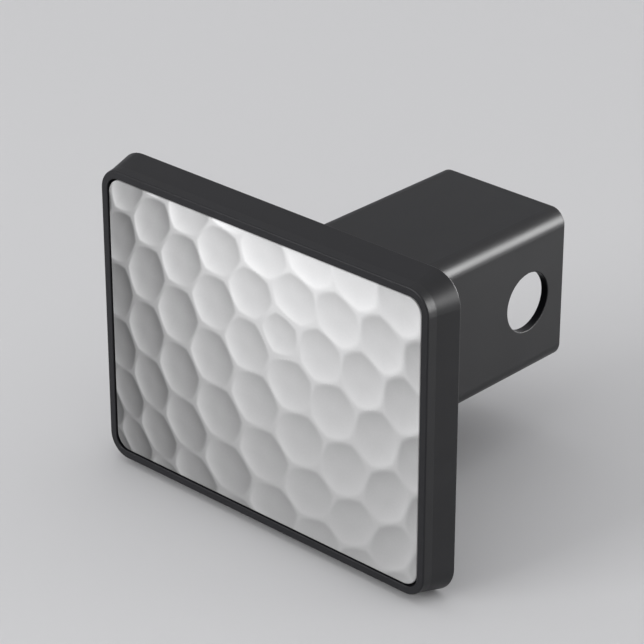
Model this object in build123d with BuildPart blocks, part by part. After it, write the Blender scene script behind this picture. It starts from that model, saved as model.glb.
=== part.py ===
from build123d import *
from math import radians, tan
import os

# Hitch receiver cover: a moulded frame with a printed plate on its front and a square tube behind.
# The origin is the centre of the cross-pin hole on the tube's axis. The front faces -Y and +Z is up.

# Tube, which slides into a receiver of 2 inches (50.8 mm) inside
tube_side = 49.7
tube_corner_r = 5.0
tube_wall = 2.5
core_draft = 0.25
pin_hole_d = 19.0
pin_to_tube_end = 16.6
pin_to_front = 90.8

# Frame: a lip at the front, then a skirt that flares more steeply from the parting line to the rim
front_w = 126.5
front_h = 95.0
front_corner_r = 7.0
lip_depth = 3.0
lip_draft = 9.3
frame_depth = 10.6
skirt_draft = 15.3
skirt_wall = 2.4
web_t = 2.3
bezel_side = 2.45
bezel_top = 2.55
opening_corner_r = 4.2
rib_t = 1.6
rib_below_rim = 0.8

# Plate and the adhesive sheet that holds it
plate_gap = 0.3
plate_corner_r = 5.0
plate_t = 1.6
plate_sunk = 0.3
sheet_t = 0.3
sheet_margin = 2.0

# Rounded edges
front_edge_r = 0.5
rim_edge_r = 0.4
opening_edge_r = 0.25
plate_edge_r = 0.4
tube_end_r = 0.4
pin_hole_edge_r = 0.3

# Places worked out from the sizes above
front_y = -pin_to_front
parting_y = front_y + lip_depth
rim_y = front_y + frame_depth
tube_end_y = pin_to_tube_end
opening_w = front_w - 2 * bezel_side
opening_h = front_h - 2 * bezel_top
plate_w = opening_w - 2 * plate_gap
plate_h = opening_h - 2 * plate_gap
plate_y = front_y + plate_sunk
sheet_y = plate_y + plate_t
floor_y = sheet_y + sheet_t
web_y = floor_y + web_t
lip_flare = lip_depth * tan(radians(lip_draft))
web_flare = lip_flare + (web_y - parting_y) * tan(radians(skirt_draft))
hollow_inset = skirt_wall - web_flare
hollow_w = front_w - 2 * hollow_inset
hollow_h = front_h - 2 * hollow_inset
hollow_corner_r = front_corner_r - hollow_inset
rib_offset = (tube_side - tube_wall) / 2
core_side = tube_side - 2 * tube_wall
core_corner_r = tube_corner_r - tube_wall
sheet_w = plate_w - 2 * sheet_margin
sheet_h = plate_h - 2 * sheet_margin
sheet_corner_r = plate_corner_r - sheet_margin


def facing_back(y):
    """A plane across the tube at this place, with its normal towards the tube's open end."""
    return Plane(origin=(0, y, 0), x_dir=(-1, 0, 0), z_dir=(0, 1, 0))


def facing_front(y):
    """A plane across the tube at this place, with its normal towards the front."""
    return Plane.XZ.offset(-y)


with BuildPart() as back_hollow:
    with BuildSketch(facing_back(web_y)):
        RectangleRounded(hollow_w, hollow_h, hollow_corner_r)
    extrude(amount=rim_y - web_y, taper=-skirt_draft)
    with BuildSketch(facing_back(web_y)):
        RectangleRounded(tube_side, tube_side, tube_corner_r)
    extrude(amount=rim_y - web_y, mode=Mode.SUBTRACT)
    with BuildSketch(facing_back(web_y)):
        with Locations((0, rib_offset), (0, -rib_offset)):
            Rectangle(2 * front_w, rib_t)
        with Locations((rib_offset, 0), (-rib_offset, 0)):
            Rectangle(rib_t, 2 * front_h)
    extrude(amount=rim_y - web_y - rib_below_rim, mode=Mode.SUBTRACT)

with BuildPart() as cover_body:
    with BuildSketch(facing_back(front_y)):
        RectangleRounded(front_w, front_h, front_corner_r)
    extrude(amount=lip_depth, taper=-lip_draft)
    with BuildSketch(facing_back(parting_y)):
        RectangleRounded(front_w + 2 * lip_flare, front_h + 2 * lip_flare, front_corner_r + lip_flare)
    extrude(amount=frame_depth - lip_depth, taper=-skirt_draft)
    fillet(cover_body.faces().sort_by(Axis.Y)[0].edges(), front_edge_r)
    fillet(cover_body.faces().sort_by(Axis.Y)[-1].edges(), rim_edge_r)

    # Recess for the plate
    with BuildSketch(facing_back(front_y)):
        RectangleRounded(opening_w, opening_h, opening_corner_r)
    extrude(amount=floor_y - front_y, mode=Mode.SUBTRACT)
    front_face = cover_body.faces().sort_by(Axis.Y)[0]
    fillet(front_face.inner_wires()[0].edges(), opening_edge_r)

    # Ribbed back, then the tube with its core and the cross-pin hole
    add(back_hollow.part, mode=Mode.SUBTRACT)
    with BuildSketch(facing_back(web_y)):
        RectangleRounded(tube_side, tube_side, tube_corner_r)
    extrude(amount=tube_end_y - web_y)
    with BuildSketch(facing_front(tube_end_y)):
        RectangleRounded(core_side, core_side, core_corner_r)
    extrude(amount=tube_end_y - web_y, taper=core_draft, mode=Mode.SUBTRACT)
    fillet(cover_body.faces().sort_by(Axis.Y)[-1].edges(), tube_end_r)
    with BuildSketch(Plane.YZ):
        Circle(pin_hole_d / 2)
    extrude(amount=tube_side, both=True, mode=Mode.SUBTRACT)
    side_circles = cover_body.edges().filter_by(GeomType.CIRCLE).filter_by(Plane.YZ)
    fillet(side_circles.group_by(SortBy.RADIUS)[-1], pin_hole_edge_r)

with BuildPart() as face_plate:
    with BuildSketch(facing_back(plate_y)):
        RectangleRounded(plate_w, plate_h, plate_corner_r)
    extrude(amount=plate_t)
    fillet(face_plate.faces().sort_by(Axis.Y)[0].edges(), plate_edge_r)

with BuildPart() as adhesive_sheet:
    with BuildSketch(facing_back(sheet_y)):
        RectangleRounded(sheet_w, sheet_h, sheet_corner_r)
    extrude(amount=sheet_t)

os.makedirs("parts", exist_ok=True)
for name, piece in (
    ("cover_body", cover_body),
    ("face_plate", face_plate),
    ("adhesive_sheet", adhesive_sheet),
):
    piece.part.label = name
    export_step(piece.part, f"parts/{name}.step")
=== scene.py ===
import bpy
import numpy as np
from math import cos, pi, radians, sin
from mathutils import Matrix, Vector


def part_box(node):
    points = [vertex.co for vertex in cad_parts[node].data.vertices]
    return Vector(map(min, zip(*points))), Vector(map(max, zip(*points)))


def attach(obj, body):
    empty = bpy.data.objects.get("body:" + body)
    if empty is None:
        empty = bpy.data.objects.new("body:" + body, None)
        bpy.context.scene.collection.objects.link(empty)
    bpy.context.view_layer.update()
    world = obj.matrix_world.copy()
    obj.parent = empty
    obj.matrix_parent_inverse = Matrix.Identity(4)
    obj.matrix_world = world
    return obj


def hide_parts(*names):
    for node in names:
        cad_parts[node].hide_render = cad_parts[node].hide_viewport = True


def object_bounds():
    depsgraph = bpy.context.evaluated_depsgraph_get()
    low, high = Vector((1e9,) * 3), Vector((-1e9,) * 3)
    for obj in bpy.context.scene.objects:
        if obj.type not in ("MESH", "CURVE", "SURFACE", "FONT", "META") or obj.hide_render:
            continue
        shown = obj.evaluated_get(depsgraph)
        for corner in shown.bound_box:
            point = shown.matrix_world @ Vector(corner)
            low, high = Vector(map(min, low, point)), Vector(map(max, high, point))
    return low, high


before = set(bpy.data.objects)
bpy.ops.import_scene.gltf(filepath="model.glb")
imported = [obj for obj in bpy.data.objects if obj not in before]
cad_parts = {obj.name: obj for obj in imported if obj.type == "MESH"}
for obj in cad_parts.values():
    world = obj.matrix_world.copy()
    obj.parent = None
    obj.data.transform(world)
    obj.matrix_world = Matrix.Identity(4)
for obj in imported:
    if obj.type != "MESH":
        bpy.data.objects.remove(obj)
cadLow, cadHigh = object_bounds()
mm = 0.001
print("frame loaded:", ", ".join(sorted(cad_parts)))


def linear(hexColour):
    channels = [int(hexColour[i:i + 2], 16) / 255 for i in (1, 3, 5)]
    return [c / 12.92 if c <= 0.04045 else ((c + 0.055) / 1.055) ** 2.4 for c in channels] + [1.0]


# A feed is a node (its first output), a socket, or a fixed value
def addNode(tree, kind, feeds=None, **settings):
    node = tree.nodes.new(kind)
    for name, value in settings.items():
        setattr(node, name, value)
    for key, feed in (feeds or {}).items():
        if isinstance(feed, bpy.types.Node):
            feed = feed.outputs[0]
        if isinstance(feed, bpy.types.NodeSocket):
            tree.links.new(feed, node.inputs[key])
        else:
            node.inputs[key].default_value = feed
    return node


def newMaterial(name):
    material = bpy.data.materials.new(name)
    material.use_nodes = True
    tree = material.node_tree
    return material, tree, tree.nodes["Principled BSDF"]


# Cover body: injection-moulded black ABS. The mould's fine grain gives a satin face with a soft, broad
# shine, and the gloss changes slowly where the plastic flowed and cooled.
coverBody = {
    "colour": "#141417",
    "paler": "#19191d",
    "grainSize": 0.45 * mm,     # really about 0.1 mm, drawn coarser so that it shows
    "grainHeight": 0.006 * mm,
    "grainDetail": 1.0,
    "flowSize": 14 * mm,
    "flowDetail": 2.0,
    "roughness": (0.38, 0.45),
    "ior": 1.53,
    "specular": 0.30,           # the grain scatters part of the shine
}


def mouldedAbs():
    material, tree, shader = newMaterial("satin moulded black ABS")
    place = addNode(tree, "ShaderNodeTexCoord").outputs["Object"]
    shader.inputs["IOR"].default_value = coverBody["ior"]
    shader.inputs["Specular IOR Level"].default_value = coverBody["specular"]
    flow = addNode(tree, "ShaderNodeTexNoise", {
        "Vector": place, "Scale": 1 / coverBody["flowSize"], "Detail": coverBody["flowDetail"],
    })
    grain = addNode(tree, "ShaderNodeTexNoise", {
        "Vector": place, "Scale": 1 / coverBody["grainSize"], "Detail": coverBody["grainDetail"],
    })
    colour = addNode(tree, "ShaderNodeMix", {
        0: flow, 6: linear(coverBody["colour"]), 7: linear(coverBody["paler"]),
    }, data_type="RGBA")
    gloss = addNode(tree, "ShaderNodeMapRange", {
        "Value": flow, "To Min": coverBody["roughness"][0], "To Max": coverBody["roughness"][1],
    })
    bump = addNode(tree, "ShaderNodeBump", {"Height": grain, "Distance": coverBody["grainHeight"]})
    tree.links.new(colour.outputs[2], shader.inputs["Base Color"])
    tree.links.new(gloss.outputs[0], shader.inputs["Roughness"])
    tree.links.new(bump.outputs[0], shader.inputs["Normal"])
    return material


# Adhesive sheet: acrylic foam, matt and off-white, with fine closed cells
adhesiveSheet = {
    "colour": "#e3e0d6",
    "cellColour": "#d2cec2",
    "cellSize": 0.4 * mm,
    "roughness": 0.85,
}


def acrylicFoam():
    material, tree, shader = newMaterial("acrylic foam adhesive")
    place = addNode(tree, "ShaderNodeTexCoord").outputs["Object"]
    shader.inputs["Roughness"].default_value = adhesiveSheet["roughness"]
    cells = addNode(tree, "ShaderNodeTexVoronoi", {
        "Vector": place, "Scale": 1 / adhesiveSheet["cellSize"],
    })
    colour = addNode(tree, "ShaderNodeMix", {
        0: cells, 6: linear(adhesiveSheet["cellColour"]), 7: linear(adhesiveSheet["colour"]),
    }, data_type="RGBA")
    tree.links.new(colour.outputs[2], shader.inputs["Base Color"])
    return material


# Printed plate: a flat plastic plate whose print shows the near side of a dimpled ball. The dimples sit at
# the corners of a divided icosahedron, and the print's greys follow the light that is drawn on them.
printedPlate = {
    "cornerRadius": 5.0 * mm,
    "edgeRadius": 0.4 * mm,
    "edgeSteps": 4,
    "gridStep": 0.36 * mm,
    "weldDistance": 0.01 * mm,
    "backGrey": 0.95,

    "divisions": 7,                     # of each side of the icosahedron
    "poleTurns": (76.9, 7.2, -9.5),     # degrees about Z, Y and Z
    "poleSize": 0.85,                   # the dimple at the pole has five neighbours and is smaller
    "ballRadius": 113.5 * mm,
    "ballSquash": 0.965,
    "ballCentre": (5.4 * mm, 3.7 * mm, 0.0),
    "turnAway": 0.67,                   # how fast the ball turns away towards the edges

    "crowding": 0.50,                   # 0 round dimples, 1 six-sided ones
    "rim": 0.95,                        # where a dimple ends, in shares of the way to its neighbour
    "rimSoftness": 0.085,
    "softerRight": 0.5,                 # change of softness per metre
    "bowl": 1.5,                        # 1 an even hollow, more a flatter floor
    "hollowShade": 0.020,

    "level": 0.737,                     # grey at the middle, 0 black and 1 white
    "rise": (1.77, 2.93, 0.0),          # change of grey per metre across and up
    "curve": (-38.0, 12.0, 0.0),        # and per square metre
    "curveChange": (-430.0, 0.0, 0.0),  # change of the curve per metre up
    "pull": (0.093, 0.105, 0.0),        # how far a wall that faces the lamp is lighter, at the middle
    "pullChange": (-3.06, 0.70, 0.0),   # per metre, because the lamp in the print stands close

    "shade": "#000000",
    "light": "#ffffff",
    "greySteps": 16,                    # stops of the ramp, because greys run evenly to the eye
    "speckSize": 0.6 * mm,
    "speckDetail": 2.0,
    "speck": 0.012,
    "roughness": 0.42,
    "ior": 1.45,
}


# Ink on white plastic under a satin clear coat: neutral greys with a fine speckle
def printedPlastic():
    material, tree, shader = newMaterial("printed white plastic, satin")
    place = addNode(tree, "ShaderNodeTexCoord").outputs["Object"]
    shader.inputs["Roughness"].default_value = printedPlate["roughness"]
    shader.inputs["IOR"].default_value = printedPlate["ior"]
    light = addNode(tree, "ShaderNodeAttribute", attribute_name="printLight")
    speck = addNode(tree, "ShaderNodeTexNoise", {
        "Vector": place, "Scale": 1 / printedPlate["speckSize"], "Detail": printedPlate["speckDetail"],
    })
    spread = addNode(tree, "ShaderNodeMapRange", {
        "Value": speck, "To Min": -printedPlate["speck"], "To Max": printedPlate["speck"],
    })
    level = addNode(tree, "ShaderNodeMath", {0: light.outputs["Fac"], 1: spread}, operation="ADD")
    tone = addNode(tree, "ShaderNodeValToRGB", {0: level})
    stops = tone.color_ramp.elements
    steps = printedPlate["greySteps"]
    first, last = (int(printedPlate[end][1:3], 16) for end in ("shade", "light"))
    for k in range(1, steps):
        stops.new(k / steps)
    for k, stop in enumerate(stops):
        grey = round(first + (last - first) * k / steps)
        stop.position = k / steps
        stop.color = linear(f"#{grey:02x}{grey:02x}{grey:02x}")
    tree.links.new(tone.outputs[0], shader.inputs["Base Color"])
    return material


# Dimple centres on a ball of radius 1, each with its reach and the way to its six neighbours
def dimplePoints():
    n = printedPlate["divisions"]
    pole = Vector((0, 0, 1))
    upper = [Vector((2 * cos(2 * pi * k / 5), 2 * sin(2 * pi * k / 5), 1)).normalized() for k in range(5)]
    corners = [pole]
    for k in range(5):
        left, right, below = upper[k], upper[(k + 1) % 5], -upper[(k + 3) % 5]
        for i in range(1, n + 1):
            corners += [pole * (n - i) + left * (i - j) + right * j for j in range(i)]
            corners += [below * i + left * (n - i - j) + right * j for j in range(n - i + 1)]
    turn = Matrix.Identity(3)
    for angle, axis in zip(printedPlate["poleTurns"], "ZYZ"):
        turn = turn @ Matrix.Rotation(radians(angle), 3, axis)
    points = np.array([turn @ corner.normalized() for corner in corners])
    gaps = np.linalg.norm(points[:, None] - points[None], axis=2)
    nearest = np.argsort(gaps, axis=1)[:, 1:7]
    spacing = np.take_along_axis(gaps, nearest, axis=1)
    reach = spacing[:, :5].mean(axis=1) / 2
    # An offset's product with this is 1 half way to the neighbour
    toward = 2 * (points[nearest] - points[:, None]) / (spacing ** 2)[..., None]
    reach[0] *= printedPlate["poleSize"]
    toward[0] /= printedPlate["poleSize"]
    mesh = bpy.data.meshes.new("dimplePoints")
    mesh.from_pydata(points.tolist(), [], [])
    mesh.attributes.new("reach", "FLOAT", "POINT").data.foreach_set("value", reach.astype(np.float32))
    for k in range(6):
        ways = mesh.attributes.new(f"toward{k}", "FLOAT_VECTOR", "POINT")
        ways.data.foreach_set("vector", toward[:, k].astype(np.float32).ravel())
    return mesh


def dimplePlateTree():
    tree = bpy.data.node_groups.new("dimplePlate", "GeometryNodeTree")
    sockets = tree.interface
    sockets.new_socket("Dimple Points", in_out="INPUT", socket_type="NodeSocketGeometry")
    for name in ("Width", "Height", "Thickness", "Corner Radius", "Edge Radius", "Grid Step",
                 "Ball Radius", "Ball Squash", "Turn Away", "Crowding", "Rim", "Rim Softness",
                 "Softer Right", "Bowl", "Hollow Shade", "Level", "Back Grey", "Weld Distance"):
        sockets.new_socket(name, in_out="INPUT", socket_type="NodeSocketFloat")
    for name in ("Place", "Ball Centre", "Rise", "Curve", "Curve Change", "Pull", "Pull Change"):
        sockets.new_socket(name, in_out="INPUT", socket_type="NodeSocketVector")
    sockets.new_socket("Finish", in_out="INPUT", socket_type="NodeSocketMaterial")
    sockets.new_socket("Geometry", in_out="OUTPUT", socket_type="NodeSocketGeometry")
    size = addNode(tree, "NodeGroupInput").outputs
    number, vector = "ShaderNodeMath", "ShaderNodeVectorMath"

    # Half sizes of the outline, and the box that the corner arcs are centred on
    whole = addNode(tree, "ShaderNodeCombineXYZ", {0: size["Width"], 1: size["Height"]})
    half = addNode(tree, vector, {0: whole, "Scale": 0.5}, operation="SCALE")
    corner = addNode(tree, "ShaderNodeCombineXYZ", {0: size["Corner Radius"], 1: size["Corner Radius"]})
    inner = addNode(tree, vector, {0: half, 1: corner}, operation="SUBTRACT")

    # Grid of the flat face, its corners drawn in to arcs
    edges = addNode(tree, number, {0: size["Edge Radius"], 1: 2.0}, operation="MULTIPLY")
    wide = addNode(tree, number, {0: size["Width"], 1: edges}, operation="SUBTRACT")
    high = addNode(tree, number, {0: size["Height"], 1: edges}, operation="SUBTRACT")
    columns = addNode(tree, number, {0: wide, 1: size["Grid Step"]}, operation="DIVIDE")
    rows = addNode(tree, number, {0: high, 1: size["Grid Step"]}, operation="DIVIDE")
    grid = addNode(tree, "GeometryNodeMeshGrid", {
        "Size X": wide, "Vertices X": columns, "Size Y": high, "Vertices Y": rows,
    })
    place = addNode(tree, "GeometryNodeInputPosition")
    side = addNode(tree, vector, {0: place}, operation="SIGN")
    fromMiddle = addNode(tree, vector, {0: place}, operation="ABSOLUTE")
    beyond = addNode(tree, vector, {0: fromMiddle, 1: inner}, operation="SUBTRACT")
    over = addNode(tree, vector, {0: beyond, 1: (0, 0, 0)}, operation="MAXIMUM")
    within = addNode(tree, vector, {0: fromMiddle, 1: inner}, operation="MINIMUM")
    parts = addNode(tree, "ShaderNodeSeparateXYZ", {0: over})
    longer = addNode(tree, number, {0: parts.outputs[0], 1: parts.outputs[1]}, operation="MAXIMUM")
    length = addNode(tree, vector, {0: over}, operation="LENGTH").outputs["Value"]
    shrink = addNode(tree, number, {0: longer, 1: length}, operation="DIVIDE")
    arc = addNode(tree, vector, {0: over, "Scale": shrink}, operation="SCALE")
    rounded = addNode(tree, vector, {0: within, 1: arc}, operation="ADD")
    signed = addNode(tree, vector, {0: rounded, 1: side}, operation="MULTIPLY")
    face = addNode(tree, "GeometryNodeSetPosition", {"Geometry": grid, "Position": signed})

    # Direction on the ball that each point of the face shows
    ballHeight = addNode(tree, number, {
        0: size["Ball Radius"], 1: size["Ball Squash"],
    }, operation="MULTIPLY")
    ballSize = addNode(tree, "ShaderNodeCombineXYZ", {0: size["Ball Radius"], 1: ballHeight, 2: 1.0})
    fromCentre = addNode(tree, vector, {0: place, 1: size["Ball Centre"]}, operation="SUBTRACT")
    onBall = addNode(tree, vector, {0: fromCentre, 1: ballSize}, operation="DIVIDE")
    away = addNode(tree, vector, {0: onBall}, operation="LENGTH").outputs["Value"]
    awaySquared = addNode(tree, number, {0: away, 1: away}, operation="MULTIPLY")
    stretch = addNode(tree, number, {
        0: awaySquared, 1: size["Turn Away"], 2: 1.0,
    }, operation="MULTIPLY_ADD")
    angle = addNode(tree, number, {0: away, 1: stretch}, operation="MULTIPLY")
    sine = addNode(tree, number, {0: angle}, operation="SINE")
    cosine = addNode(tree, number, {0: angle}, operation="COSINE")
    heading = addNode(tree, vector, {0: onBall}, operation="NORMALIZE")
    sideways = addNode(tree, vector, {0: heading, "Scale": sine}, operation="SCALE")
    forward = addNode(tree, "ShaderNodeCombineXYZ", {2: cosine})
    ball = addNode(tree, vector, {0: sideways, 1: forward}, operation="ADD")

    # The dimple that this point lies in
    points = size["Dimple Points"]
    own = addNode(tree, "GeometryNodeSampleNearest", {"Geometry": points, "Sample Position": ball})
    centre = addNode(tree, "GeometryNodeSampleIndex", {
        "Geometry": points, "Value": place, "Index": own,
    }, data_type="FLOAT_VECTOR")
    reachValue = addNode(tree, "GeometryNodeInputNamedAttribute", {"Name": "reach"}, data_type="FLOAT")
    reach = addNode(tree, "GeometryNodeSampleIndex", {
        "Geometry": points, "Value": reachValue, "Index": own,
    }, data_type="FLOAT")
    offset = addNode(tree, vector, {0: ball, 1: centre}, operation="SUBTRACT")
    outwards = addNode(tree, vector, {0: offset}, operation="NORMALIZE")

    # How far out in it, 1 at its border: by its own reach, and by the lines half way to its six neighbours
    near = addNode(tree, vector, {0: offset}, operation="LENGTH").outputs["Value"]
    roundShare = addNode(tree, number, {0: near, 1: reach}, operation="DIVIDE")
    sixShare = 0.0
    for k in range(6):
        way = addNode(tree, "GeometryNodeInputNamedAttribute", {
            "Name": f"toward{k}",
        }, data_type="FLOAT_VECTOR")
        ownWay = addNode(tree, "GeometryNodeSampleIndex", {
            "Geometry": points, "Value": way, "Index": own,
        }, data_type="FLOAT_VECTOR")
        share = addNode(tree, vector, {0: offset, 1: ownWay}, operation="DOT_PRODUCT").outputs["Value"]
        sixShare = addNode(tree, number, {0: sixShare, 1: share}, operation="MAXIMUM")
    share = addNode(tree, "ShaderNodeMix", {
        0: size["Crowding"], 2: roundShare, 3: sixShare,
    }, data_type="FLOAT")

    # Wall of the dimple, steeper outwards and soft at the rim
    across = addNode(tree, "ShaderNodeSeparateXYZ", {0: place})
    softness = addNode(tree, number, {
        0: across, 1: size["Softer Right"], 2: size["Rim Softness"],
    }, operation="MULTIPLY_ADD")
    inside = addNode(tree, "ShaderNodeMapRange", {
        "Value": share, "To Min": 1.0, "To Max": 0.0,
        "From Min": addNode(tree, number, {0: size["Rim"], 1: softness}, operation="SUBTRACT"),
        "From Max": addNode(tree, number, {0: size["Rim"], 1: softness}, operation="ADD"),
    }, interpolation_type="SMOOTHSTEP")
    bowl = addNode(tree, number, {0: share, 1: size["Bowl"]}, operation="POWER")
    wall = addNode(tree, number, {0: bowl, 1: inside}, operation="MULTIPLY")

    # Light drawn in the print: it falls off over the ball, and walls that face the lamp are lighter
    squares = addNode(tree, vector, {0: place, 1: place}, operation="MULTIPLY")
    rising = addNode(tree, vector, {0: place, 1: size["Rise"]}, operation="DOT_PRODUCT").outputs["Value"]
    bend = addNode(tree, vector, {0: size["Curve Change"], "Scale": across.outputs[1]}, operation="SCALE")
    curve = addNode(tree, vector, {0: size["Curve"], 1: bend}, operation="ADD")
    curving = addNode(tree, vector, {0: squares, 1: curve}, operation="DOT_PRODUCT").outputs["Value"]
    pull = addNode(tree, vector, {
        0: place, 1: size["Pull Change"], 2: size["Pull"],
    }, operation="MULTIPLY_ADD")
    facing = addNode(tree, vector, {0: outwards, 1: pull}, operation="DOT_PRODUCT").outputs["Value"]
    light = addNode(tree, number, {0: size["Level"], 1: rising}, operation="ADD")
    light = addNode(tree, number, {0: light, 1: curving}, operation="ADD")
    lost = addNode(tree, number, {0: wall, 1: facing}, operation="MULTIPLY")
    hollow = addNode(tree, number, {0: inside, 1: size["Hollow Shade"]}, operation="MULTIPLY")
    light = addNode(tree, number, {0: light, 1: lost}, operation="SUBTRACT")
    light = addNode(tree, number, {0: light, 1: hollow}, operation="SUBTRACT")
    printed = addNode(tree, "GeometryNodeStoreNamedAttribute", {
        "Geometry": face, "Name": "printLight", "Value": light,
    }, data_type="FLOAT", domain="POINT")

    # Rounded edge and side wall, pulled out of the face's border one strip at a time
    border = addNode(tree, "GeometryNodeInputMeshEdgeNeighbors")
    rimEdges = addNode(tree, "FunctionNodeCompare", {2: border, 3: 1}, data_type="INT", operation="EQUAL")
    overSigned = addNode(tree, vector, {0: over, 1: side}, operation="MULTIPLY")
    outFromFace = addNode(tree, vector, {0: overSigned}, operation="NORMALIZE")
    body, picked = printed.outputs[0], rimEdges.outputs[0]
    turns = [radians(90 * k / printedPlate["edgeSteps"]) for k in range(printedPlate["edgeSteps"] + 1)]
    for a, b in zip(turns, turns[1:]):
        outBy = addNode(tree, number, {0: size["Edge Radius"], 1: sin(b) - sin(a)}, operation="MULTIPLY")
        backBy = addNode(tree, number, {0: size["Edge Radius"], 1: cos(b) - cos(a)}, operation="MULTIPLY")
        goOut = addNode(tree, vector, {0: outFromFace, "Scale": outBy}, operation="SCALE")
        goBack = addNode(tree, "ShaderNodeCombineXYZ", {2: backBy})
        strip = addNode(tree, "GeometryNodeExtrudeMesh", {
            "Mesh": body, "Selection": picked, "Offset Scale": 1.0,
            "Offset": addNode(tree, vector, {0: goOut, 1: goBack}, operation="ADD"),
        }, mode="EDGES")
        body, picked = strip.outputs["Mesh"], strip.outputs["Top"]
    wallDepth = addNode(tree, number, {0: size["Edge Radius"], 1: size["Thickness"]}, operation="SUBTRACT")
    sides = addNode(tree, "GeometryNodeExtrudeMesh", {
        "Mesh": body, "Selection": picked, "Offset Scale": 1.0,
        "Offset": addNode(tree, "ShaderNodeCombineXYZ", {2: wallDepth}),
    }, mode="EDGES")

    # Plain white back, filled in from the side wall's last edge
    backEdge = addNode(tree, "GeometryNodeMeshToCurve", {"Mesh": sides, "Selection": sides.outputs["Top"]})
    backFill = addNode(tree, "GeometryNodeFillCurve", {0: backEdge})
    backDepth = addNode(tree, number, {0: size["Thickness"], 1: -1.0}, operation="MULTIPLY")
    backPlace = addNode(tree, "ShaderNodeCombineXYZ", {
        0: across.outputs[0], 1: across.outputs[1], 2: backDepth,
    })
    backFace = addNode(tree, "GeometryNodeSetPosition", {"Geometry": backFill, "Position": backPlace})
    backWhite = addNode(tree, "GeometryNodeStoreNamedAttribute", {
        "Geometry": backFace, "Name": "printLight", "Value": size["Back Grey"],
    }, data_type="FLOAT", domain="POINT")
    backTurned = addNode(tree, "GeometryNodeFlipFaces", {0: backWhite})
    joined = addNode(tree, "GeometryNodeJoinGeometry")
    tree.links.new(sides.outputs["Mesh"], joined.inputs[0])
    tree.links.new(backTurned.outputs[0], joined.inputs[0])
    closed = addNode(tree, "GeometryNodeMergeByDistance", {
        "Geometry": joined, "Distance": size["Weld Distance"],
    })

    # Stood up to face the front, in its place
    stood = addNode(tree, "GeometryNodeTransform", {
        "Geometry": closed, "Translation": size["Place"], "Rotation": (pi / 2, 0, 0),
    })
    soft = addNode(tree, "GeometryNodeSetShadeSmooth", {"Geometry": stood})
    real = addNode(tree, "GeometryNodeRealizeInstances", {"Geometry": soft})
    dressed = addNode(tree, "GeometryNodeSetMaterial", {"Geometry": real, "Material": size["Finish"]})
    addNode(tree, "NodeGroupOutput", {"Geometry": dressed})
    return tree


def makePlate():
    low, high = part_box("face_plate")
    holder = bpy.data.objects.new("dimplePoints", dimplePoints())
    bpy.context.scene.collection.objects.link(holder)
    modifier = holder.modifiers.new("dimplePlate", "NODES")
    modifier.node_group = dimplePlateTree()
    values = {
        "Width": high.x - low.x,
        "Height": high.z - low.z,
        "Thickness": high.y - low.y,
        "Place": ((low.x + high.x) / 2, low.y, (low.z + high.z) / 2),
        "Finish": printedPlastic(),
    }
    for item in modifier.node_group.interface.items_tree:
        if item.in_out == "OUTPUT" or item.name == "Dimple Points":
            continue
        first, *others = item.name.split()
        setting = first.lower() + "".join(others)   # Corner Radius is the setting cornerRadius
        modifier[item.identifier] = values[item.name] if item.name in values else printedPlate[setting]
    graph = bpy.context.evaluated_depsgraph_get()
    mesh = bpy.data.meshes.new_from_object(
        holder.evaluated_get(graph), preserve_all_data_layers=True, depsgraph=graph)
    holder.modifiers.remove(modifier)
    bpy.data.objects.remove(holder)
    piece = bpy.data.objects.new("printedPlate", mesh)
    bpy.context.scene.collection.objects.link(piece)
    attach(piece, "root")
    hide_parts("face_plate")
    print("plate:", len(mesh.vertices), "vertices,", len(mesh.polygons), "faces")


def dress(node, material):
    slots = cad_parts[node].data.materials
    slots.clear()
    slots.append(material)


dress("cover_body", mouldedAbs())
dress("adhesive_sheet", acrylicFoam())
makePlate()
print("pieces dressed")


# Studio: a pale round floor that curves up into a wall, a pale sky, a broad lamp in front, and softboxes
# to the right and behind that only show as soft reflections
studio = {
    "floorColour": "#d8d8d9",
    "floorRadius": 3.0,         # metres, of the flat part
    "sweepRadius": 1.5,
    "sweepSteps": 12,
    "wallHeight": 2.5,
    "wallSides": 72,
    "floorRoughness": 0.9,
    "skyLow": "#707074",        # at the horizon
    "skyHigh": "#fbfbfc",       # overhead
    "skyStrength": 1.0,
    "lamps": (
        # name, metres from the object's middle, width and height, watts, whether it lights or only reflects
        ("frontLamp", (-0.7, -1.9, 0.60), (1.2, 1.0), 24.0, True),
        ("backLamp", (1.20, 1.00, 0.34), (0.66, 1.00), 60.0, False),
        ("rightLamp", (1.45, 0.30, 0.50), (0.3, 0.6), 5.0, False),
        ("rearLamp", (0.10, 1.90, 0.25), (0.90, 0.50), 26.0, False),
    ),
}


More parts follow.
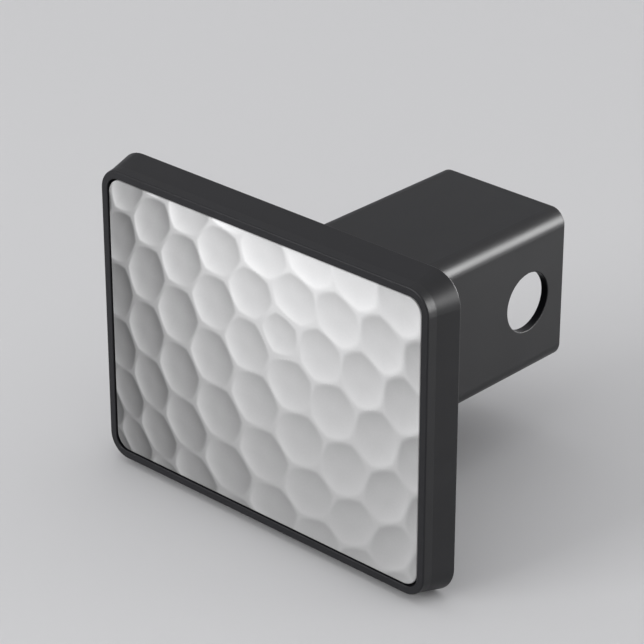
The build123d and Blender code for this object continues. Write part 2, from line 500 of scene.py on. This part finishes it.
def buildFloor():
    flat, sweep, sides = studio["floorRadius"], studio["sweepRadius"], studio["wallSides"]
    profile = []
    for k in range(studio["sweepSteps"] + 1):
        angle = radians(90 * k / studio["sweepSteps"])
        profile.append((flat + sweep * sin(angle), sweep * (1 - cos(angle))))
    profile.append((flat + sweep, studio["wallHeight"]))
    around = [2 * pi * k / sides for k in range(sides)]
    points = [(r * cos(a), r * sin(a), cadLow.z + h) for r, h in profile for a in around]
    faces = [tuple(range(sides))]
    for ring in range(len(profile) - 1):
        for k in range(sides):
            here, after = ring * sides + k, ring * sides + (k + 1) % sides
            faces.append((here, after, after + sides, here + sides))
    mesh = bpy.data.meshes.new("floor")
    mesh.from_pydata(points, [], faces)
    for polygon in mesh.polygons[1:]:   # all but the flat part
        polygon.use_smooth = True
    floor = bpy.data.objects.new("floor", mesh)
    bpy.context.scene.collection.objects.link(floor)
    material, _, shader = newMaterial("matt pale floor")
    shader.inputs["Base Color"].default_value = linear(studio["floorColour"])
    shader.inputs["Roughness"].default_value = studio["floorRoughness"]
    mesh.materials.append(material)


def buildSky():
    world = bpy.data.worlds.new("pale sky")
    world.use_nodes = True
    tree = world.node_tree
    way = addNode(tree, "ShaderNodeTexCoord").outputs["Generated"]
    upward = addNode(tree, "ShaderNodeSeparateXYZ", {0: way}).outputs[2]
    fade = addNode(tree, "ShaderNodeMix", {
        0: upward, 6: linear(studio["skyLow"]), 7: linear(studio["skyHigh"]),
    }, data_type="RGBA")
    sky = tree.nodes["Background"]
    sky.inputs["Strength"].default_value = studio["skyStrength"]
    tree.links.new(fade.outputs[2], sky.inputs["Color"])
    bpy.context.scene.world = world


def buildLamps():
    middle = (cadLow + cadHigh) / 2
    for name, place, spread, power, lights in studio["lamps"]:
        lamp = bpy.data.lights.new(name, "AREA")
        lamp.shape = "RECTANGLE"
        lamp.size, lamp.size_y = spread
        lamp.energy = power
        holder = bpy.data.objects.new(name, lamp)
        holder.location = middle + Vector(place)
        holder.visible_diffuse = lights
        holder.rotation_euler = Vector(place).to_track_quat("Z", "Y").to_euler()
        bpy.context.scene.collection.objects.link(holder)


# Camera, from the photograph's viewing angle
view = {
    "place": (487.5 * mm, -586.6 * mm, 366.2 * mm),
    "target": (15.57 * mm, -80.8 * mm, 19.77 * mm),
    "lens": 154.3,      # millimetres, like the sensor
    "sensor": 36.0,
    "nearest": 10 * mm,
}


def buildCamera():
    camera = bpy.data.cameras.new("camera")
    camera.sensor_width = view["sensor"]
    camera.lens = view["lens"]
    camera.clip_start = view["nearest"]
    holder = bpy.data.objects.new("camera", camera)
    holder.location = view["place"]
    back = Vector(view["place"]) - Vector(view["target"])
    holder.rotation_euler = back.to_track_quat("Z", "Y").to_euler()
    bpy.context.scene.collection.objects.link(holder)
    bpy.context.scene.camera = holder


buildFloor()
buildSky()
buildLamps()
buildCamera()
bpy.context.scene.view_settings.view_transform = "Standard"
print("studio and camera ready")
